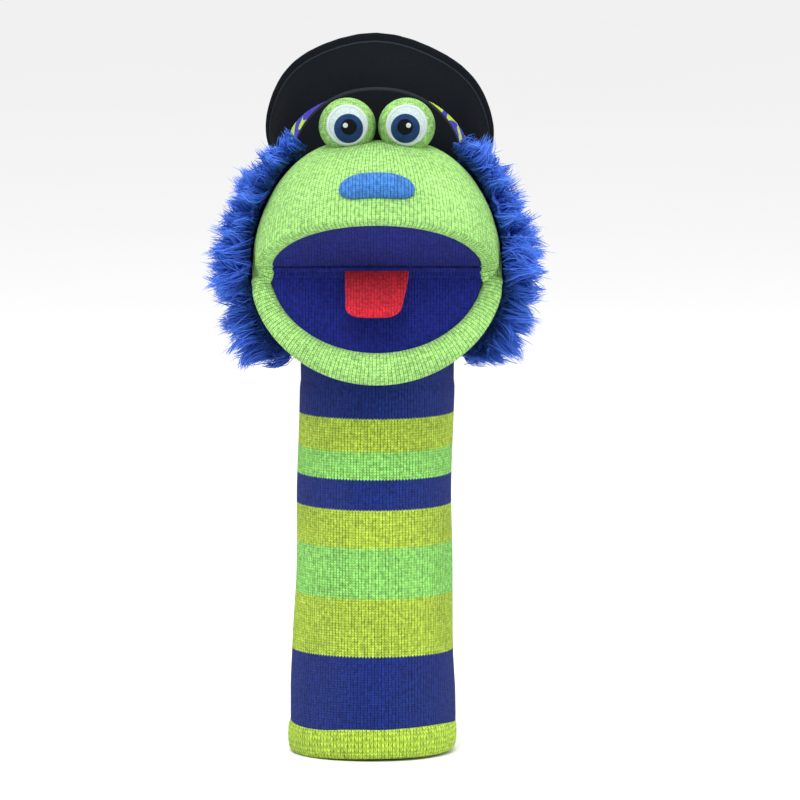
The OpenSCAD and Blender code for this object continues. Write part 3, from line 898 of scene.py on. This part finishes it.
def rolled(points):
    """The crown sits a little lower on one side."""
    c, s = cos_sin(CROWN_ROLL)
    x, z = points[..., 0], points[..., 2] - BAND_TOP
    return np.stack([x * c + z * s, points[..., 1], z * c - x * s + BAND_TOP], -1)


def crown_outline(angle):
    return RIM_R - 0.4 + 0.7 * np.sin(3 * angle + 0.6) + 0.4 * np.sin(7 * angle)


def build_crown():
    """The stuffed crown: a flaring underside and a low domed top, sewn together just under the rim."""
    angle = np.linspace(0, FULL_TURN, AROUND)
    squared, dome, seam_rise = 2 / 2.6, 7.5, -0.35
    rise = np.linspace(seam_rise, math.pi / 2, 40)[:, None]
    out = crown_outline(angle) * np.maximum(np.cos(rise), 0) ** squared
    inner = 1 - out / RIM_R
    puckers = np.sin(CROWN_PUCKERS * angle)
    level = dome * signed_power(np.sin(rise), squared)
    level = level + 3.0 * np.sin(2 * angle + 1) * inner * (1 - inner)
    level = level + np.exp(-inner * 12) * puckers * 0.2
    top = rim_frame(stacked(out * np.cos(angle), out * np.sin(angle), level))
    seam = top[0]
    foot_r = BAND_R - 0.8
    foot_up = BAND_TOP - 1 - BAND_LIFT * foot_r * np.sin(angle)
    foot = stacked(foot_r * np.cos(angle), CAP_BACK + foot_r * np.sin(angle), foot_up)
    part = np.linspace(0, 1, 22)[:-1, None, None]
    under = foot + (seam - foot) * part
    swell = np.sin(math.pi * part[..., 0])
    pucker = np.exp(-(1 - part[..., 0]) * 9) * puckers * 0.25
    under += swell[..., None] * stacked(1.8 * np.cos(angle), 1.8 * np.sin(angle), -1.4)
    under[..., 2] += pucker
    points = np.concatenate([under, top])
    piece = add_grid("cap_crown", at_head(rolled(points)), closed=False)
    co = np.array([v.co for v in piece.data.vertices]) / MM
    sewn = [*nearest(co, at_head(rolled(seam))), *nearest(co, at_head(rolled(foot)))]
    puff(piece, 4, 3.0, sewn)
    stuffed = ("cap_crown_under", "cap_crown_top", "cap_padding")
    finish_piece(piece, black_cloth, "head", "black_cloth", *stuffed)
    edge = add_grid("cap_rim_seam", tube_along(at_head(rolled(seam)), 0.7))
    finish_piece(edge, black_trim, "head", "black_trim")


def nearest(co, places):
    """The vertices that lie at the given places."""
    return [int(np.argmin(((co - p) ** 2).sum(1))) for p in places]


def tube_along(line, radius, closed=True):
    """A thin round tube along a line of points, tapered to its ends where it isn't closed."""
    sides, count = 9, np.arange(len(line))
    ahead = np.roll(line[:-1], -1, 0) - np.roll(line[:-1], 1, 0) if closed else np.gradient(line, axis=0)
    ahead = np.concatenate([ahead, ahead[:1]]) if closed else ahead
    ahead /= np.linalg.norm(ahead, axis=1, keepdims=True)
    middle = line.mean(0)
    side = line - middle
    side -= (side * ahead).sum(1, keepdims=True) * ahead
    side /= np.linalg.norm(side, axis=1, keepdims=True)
    third = np.cross(ahead, side)
    around = np.linspace(0, FULL_TURN, sides + 1)[:, None, None]
    taper = np.sqrt(np.clip(np.minimum(count, count[::-1]) / 3, 0, 1))[:, None]
    size = radius if closed else radius * taper
    return line + size * (np.cos(around) * side + np.sin(around) * third)


def build_band():
    """The patterned band, with the sweatband turned in at its lower edge."""
    level, angle = spread(24, AROUND, 0, 1, 0, FULL_TURN)
    z = BAND_LOW + 3 + (BAND_TOP - BAND_LIFT * BAND_R * np.sin(angle) - BAND_LOW - 3) * level
    r = BAND_R + 0.5 * np.sin(math.pi * level) + 0.2 * np.sin(5 * angle)
    points = stacked(r * np.cos(angle), CAP_BACK + r * np.sin(angle), z)
    uv = np.stack([angle * BAND_R, z], -1)
    piece = add_grid("cap_band_cloth", at_head(points), uv, closed=False)
    thicken(piece, 1.1)
    finish_piece(piece, band_cloth, "head", "patterned_band", "cap_band")
    r = BAND_R - 1.6
    points = stacked(r * np.cos(angle), CAP_BACK + r * np.sin(angle), z - 0.8)
    inner = add_grid("cap_sweatband_cloth", at_head(points), uv, closed=False)
    thicken(inner, 1.0)
    finish_piece(inner, black_cloth, "head", "black_cloth", "cap_sweatband")


def visor_edge(turn):
    """How far up its slope the visor reaches: its outline is a broad, flat-topped arch."""
    k, m = cos_sin(VISOR_SLOPE)
    half_w, high, squared = 46.8, 34.0, 2.4
    middle = VISOR_FOOT + VISOR_LEN * m - high
    low, top = np.zeros_like(turn), np.full_like(turn, VISOR_LEN)
    for _ in range(40):
        s = (low + top) / 2
        across = np.abs((BAND_R + VISOR_OUT + k * s) * np.sin(turn)) / half_w
        up = np.maximum(VISOR_FOOT + m * s - middle, 0) / high
        inside = across**squared + up**squared < 1
        low, top = np.where(inside, s, low), np.where(inside, top, s)
    return low


def visor_point(turn, slope, out):
    """A point on the visor, at a turn from the front and a way up its slope, out from its middle."""
    k, m = cos_sin(VISOR_SLOPE)
    r = BAND_R + VISOR_OUT + k * slope + out * m
    return stacked(r * np.sin(turn), CAP_BACK - r * np.cos(turn), VISOR_FOOT + m * slope - out * k)


def build_visor():
    """The turned-up visor: two layers of cloth over a board, bound along the edge."""
    widest = math.radians(70)
    turn = np.linspace(-widest, widest, 121)
    reach = visor_edge(turn)
    foot = 5.0
    part = np.linspace(0, 1, 26)[:, None]
    slope = -foot + (reach + foot - 0.4) * part
    bulge = 0.5 * np.sin(math.pi * part)
    front = visor_point(turn + 0 * part, slope, 1.3 + bulge)
    back = visor_point(turn + 0 * part, slope, -1.3 + 0 * part)
    points = np.concatenate([front, back[::-1], front[:1]])
    piece = add_grid("visor_panel", at_head(points), closed=False)
    finish_piece(piece, black_cloth, "head", "black_cloth", "visor_front", "visor_board", "visor_back")
    edge = at_head(visor_point(turn, reach, 0 * turn))
    binding = add_grid("visor_binding", tube_along(edge, 1.5, closed=False))
    finish_piece(binding, black_trim, "head", "black_trim", "visor_piping")


# ---------------------------------------------------------------- mane

MANE_CENTRE = np.array([0, 22, 8])


def ball_exit(direction, centre, axes):
    """How far from the mane's centre a ray leaves an egg-shaped ball."""
    d, o = direction / axes, (MANE_CENTRE - centre) / axes
    a, b, c = (d * d).sum(-1), (d * o).sum(-1), (o * o).sum(-1) - 1
    return (-b + np.sqrt(np.maximum(b * b - a * c, 0))) / a


def head_surface(direction):
    """Where a ray from the mane's centre leaves the head, in the head's frame."""
    face = ball_exit(direction, np.array([0, FACE_BACK, 0]), np.array([FACE_R, FACE_R, 90]))
    skull = ball_exit(direction, np.array([0, SKULL_BACK, SKULL_UP]), np.full(3, SKULL_R))
    return np.maximum(face, skull)


MANE_SEED = 11
# The mane is cut into pieces where its roots pass these places in X
MANE_EDGES = [-55, -25, 0, 25, 55]
MANE_PIECES = ["far_left", "left", "back_left", "back_right", "right", "far_right"]
FUR_LOW = 220
FUR_FRONT = -5.0
FUR_FRONT_TOP = -14.0
FUR_TOP = 63.0
FUR_TOP_AHEAD = 74.0
NECK_CLEAR = 46.5
JAW_FREE_Y = -31.0


def fur_front(z):
    """How far forward fur may grow, at each height beside and below the mouth."""
    return np.interp(z, [HINGE[2] - 12, HINGE[2]], [JAW_FREE_Y, HINGE[1] - 1])


def fur_grows(row):
    """Where fur grows: behind the face, below the cap, and clear of the neck and the jaw."""
    head = head_axes(row)
    front = np.interp(head[..., 2], [25, 45], [FUR_FRONT, FUR_FRONT_TOP])
    above = (row[..., 2] >= HINGE[2]) & (head[..., 1] > front)
    below = (row[..., 2] < HINGE[2]) & (row[..., 1] > fur_front(row[..., 2]))
    clear = np.hypot(row[..., 0], row[..., 1]) > NECK_CLEAR
    top = np.where(head[..., 1] < 15, FUR_TOP_AHEAD, FUR_TOP)
    return (above | below) & clear & (head[..., 2] < top) & (row[..., 2] > FUR_LOW)


def build_underfur():
    """The dense fur at the roots: a shell round the back and sides of the head."""
    rise, turn = spread(130, 260, *map(math.radians, (80, -85, -62, 242)))
    direction = stacked(np.cos(rise) * np.cos(turn), np.cos(rise) * np.sin(turn), np.sin(rise))
    tuft = 1.2 * np.sin(turn * 21 + 5 * np.sin(rise * 7)) * np.sin(rise * 17)
    tuft = tuft + 0.8 * np.sin(turn * 47 + rise * 31)
    points = at_head(MANE_CENTRE + direction * (head_surface(direction) + 4.5 + tuft)[..., None])
    piece = add_grid("mane_underfur", points, closed=False, flip=True)
    work = bmesh.new()
    work.from_mesh(piece.data)
    bare = [v for v in work.verts if not fur_grows(np.array(v.co) / MM)]
    bmesh.ops.delete(work, geom=bare, context="VERTS")
    loose = [v for v in work.verts if not v.link_faces]
    bmesh.ops.delete(work, geom=loose, context="VERTS")
    work.to_mesh(piece.data)
    work.free()
    thicken(piece, 1.5)
    finish_piece(piece, underfur, "head", "fur_backing", "mane_backing")


def fur_roots(count, rng):
    """Places where locks of fur grow, spread over the back and sides of the head."""
    found = []
    while sum(len(f) for f in found) < count:
        direction = normalised(rng.normal(size=(4000, 3)))
        head = MANE_CENTRE + direction * (head_surface(direction) + 2.5)[:, None]
        row = at_head(head)
        keep = fur_grows(row) & (row[:, 2] > FUR_LOW + 5)
        found.append(np.concatenate([row[keep], direction[keep]], 1))
    return np.concatenate(found)[:count]


def strand_mesh(name, root, tip, bend, width, number, rng):
    """Tapered three-sided strands from root to tip, each bowed by its bend, as one mesh."""
    count, rings = len(root), 4
    t = np.array([0, 0.33, 0.66, 0.88, 1.0])
    bow = (4 * t * (1 - t))[:, None]
    line = root[:, None] + (tip - root)[:, None] * t[:, None] + bend[:, None] * bow
    ahead = normalised(tip - root)
    side = normalised(np.cross(ahead, rng.normal(size=ahead.shape)))
    third = np.cross(ahead, side)
    size = width[:, None] * np.array([0.8, 1.0, 0.75, 0.45])
    turn = np.arange(3) * FULL_TURN / 3
    spoke = np.cos(turn)[:, None] * side[:, None] + 0.6 * np.sin(turn)[:, None] * third[:, None]
    rings_at = line[:, :rings, None] + size[..., None, None] * spoke[:, None]
    points = np.concatenate([rings_at.reshape(count, -1, 3), line[:, rings:]], 1)
    base = np.arange(count)[:, None] * points.shape[1]
    quads = np.array([[3 * i + j, 3 * i + (j + 1) % 3, 3 * i + 3 + (j + 1) % 3, 3 * i + 3 + j]
                      for i in range(rings - 1) for j in range(3)])
    last = 3 * rings
    tris = np.array([[last - 3 + j, last - 3 + (j + 1) % 3, last] for j in range(3)] + [[2, 1, 0]])
    loops = np.concatenate([(base + quads.ravel()), (base + tris.ravel())], 1).ravel()
    sizes = np.tile([4] * len(quads) + [3] * len(tris), count)
    mesh = bpy.data.meshes.new(name)
    mesh.vertices.add(points.shape[0] * points.shape[1])
    mesh.vertices.foreach_set("co", (points * MM).astype(np.float32).ravel())
    mesh.loops.add(len(loops))
    mesh.loops.foreach_set("vertex_index", loops.astype(np.int32))
    mesh.polygons.add(len(sizes))
    starts = np.concatenate([[0], np.cumsum(sizes)[:-1]])
    mesh.polygons.foreach_set("loop_start", starts.astype(np.int32))
    mesh.update(calc_edges=True)
    way = np.append(np.repeat(t[:rings], 3), 1.0)
    spread_u = np.append(np.tile([-0.006, 0.0, 0.006], rings), 0.0)
    u = np.clip(number[:, None] + spread_u, 0, 1)
    uv = np.stack([u, np.tile(way, (count, 1))], -1).reshape(-1, 2)
    mesh.uv_layers.new(name="OFBake").data.foreach_set("uv", uv[loops].astype(np.float32).ravel())
    mesh.shade_smooth()
    return place_object(name, mesh)


def build_mane():
    """Shaggy locks: the strands of each lock start apart and meet towards its tip."""
    rng = np.random.default_rng(MANE_SEED)
    locks, per_lock = 1000, 44
    grown = fur_roots(locks, rng)
    root, out = grown[:, :3], grown[:, 3:]
    out = about_x(out, -HEAD_TILT)
    in_head = head_axes(root)
    forward = np.clip((14 - in_head[:, 1]) / 16, 0, 1) * np.clip((in_head[:, 2] - 6) / 12, 0, 1)
    forward = forward[:, None]
    lie = out + rng.normal(size=(locks, 3)) * 0.24 + np.array([0, -0.15, -0.08])
    lie = normalised(lie + forward * np.array([0, -0.75, 0.1]))
    length = rng.uniform(14, 23.5, locks) - 3 * forward[:, 0]
    which = np.repeat(np.arange(locks), per_lock)
    count = len(which)
    apart = rng.normal(size=(count, 3)) * 3.2
    apart -= (apart * out[which]).sum(1, keepdims=True) * out[which]
    start = root[which] + apart - 1.5 * out[which]
    loose = rng.uniform(0, 1, (count, 1)) ** 3
    stray = rng.normal(size=(count, 3)) * (0.5 + 2.2 * loose)
    tip = (root + lie * length[:, None])[which] + stray + apart * 0.22
    tip = root[which] + (tip - root[which]) * rng.uniform(0.62, 1.04, (count, 1))
    tip[:, 2] = np.maximum(tip[:, 2], FUR_LOW - 6 + rng.uniform(0, 4, count))
    curl = (rng.normal(size=(locks, 3)) * 1.8)[which]
    bend = rng.normal(size=(count, 3)) * 0.5 + 1.1 * out[which] + curl
    width = rng.uniform(0.25, 0.5, count)
    number = 0.5 + 0.2 * rng.normal(size=locks)[which] + 0.14 * rng.normal(size=count)
    number = np.clip(number, 0.02, 0.98)
    sector = np.digitize(root[which][:, 0], MANE_EDGES)
    for index, name in enumerate(MANE_PIECES):
        mask = sector == index
        strands = [values[mask] for values in (start, tip, bend, width, number)]
        piece = strand_mesh(f"mane_fur_{name}", *strands, rng)
        piece.data.materials.append(fur_pile)
        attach(piece, "head")
        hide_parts("mane_pile")


# ---------------------------------------------------------------- camera, stage and light


def build_camera():
    """A long lens, a little above the puppet's middle, at the photograph's framing."""
    elevation = math.radians(6.5)
    aim = Vector((0.01375, -0.02, 0.1975))
    distance, view_width = 5.0, 0.44
    data = bpy.data.cameras.new("camera")
    data.sensor_width = 36
    data.lens = 36 * distance / view_width
    camera = place_object("camera", data)
    back = Vector((0, -math.cos(elevation), math.sin(elevation)))
    camera.location = aim + back * distance
    camera.rotation_mode = "QUATERNION"
    camera.rotation_quaternion = (-back).to_track_quat("-Z", "Y")
    bpy.context.scene.camera = camera


def build_stage():
    half = 30.0
    corners = [(-half, -half, 0), (half, -half, 0), (half, half, 0), (-half, half, 0)]
    mesh = bpy.data.meshes.new("floor")
    mesh.from_pydata(corners, [], [(0, 1, 2, 3)])
    floor = place_object("floor", mesh)
    floor.data.materials.append(plain("floor_paper", grey(0.87)))
    world = bpy.data.worlds.new("studio")
    bpy.context.scene.world = world
    world.use_nodes = True
    background = world.node_tree.nodes["Background"].inputs
    background["Color"].default_value = (1, 1, 1, 1)
    background["Strength"].default_value = 1.0
    bpy.context.scene.view_settings.view_transform = "Standard"


def add_light(name, place, aim, size, power):
    data = bpy.data.lights.new(name, "AREA")
    data.size = size
    data.energy = power
    light = place_object(name, data)
    light.location = place
    light.rotation_mode = "QUATERNION"
    light.rotation_quaternion = (Vector(aim) - Vector(place)).to_track_quat("-Z", "Y")


build_camera()
build_stage()
add_light("key", (-0.4, -1.3, 1.9), (0, 0, 0.2), 1.2, 36)
add_light("fill", (1.5, -1.2, 0.9), (0, 0, 0.2), 1.4, 11)
add_light("top", (0.1, 0.6, 1.9), (0, 0, 0.25), 1.2, 10)

build_sleeve()
build_hem()
build_neck()
build_face()
build_nose()
build_eye(-1, "left")
build_eye(1, "right")
build_mouth()
build_lower_lip()
build_chin()
build_throat()
build_throat_side(-1, "left")
build_throat_side(1, "right")
build_tongue()
build_crown()
build_band()
build_visor()
build_underfur()
build_mane()
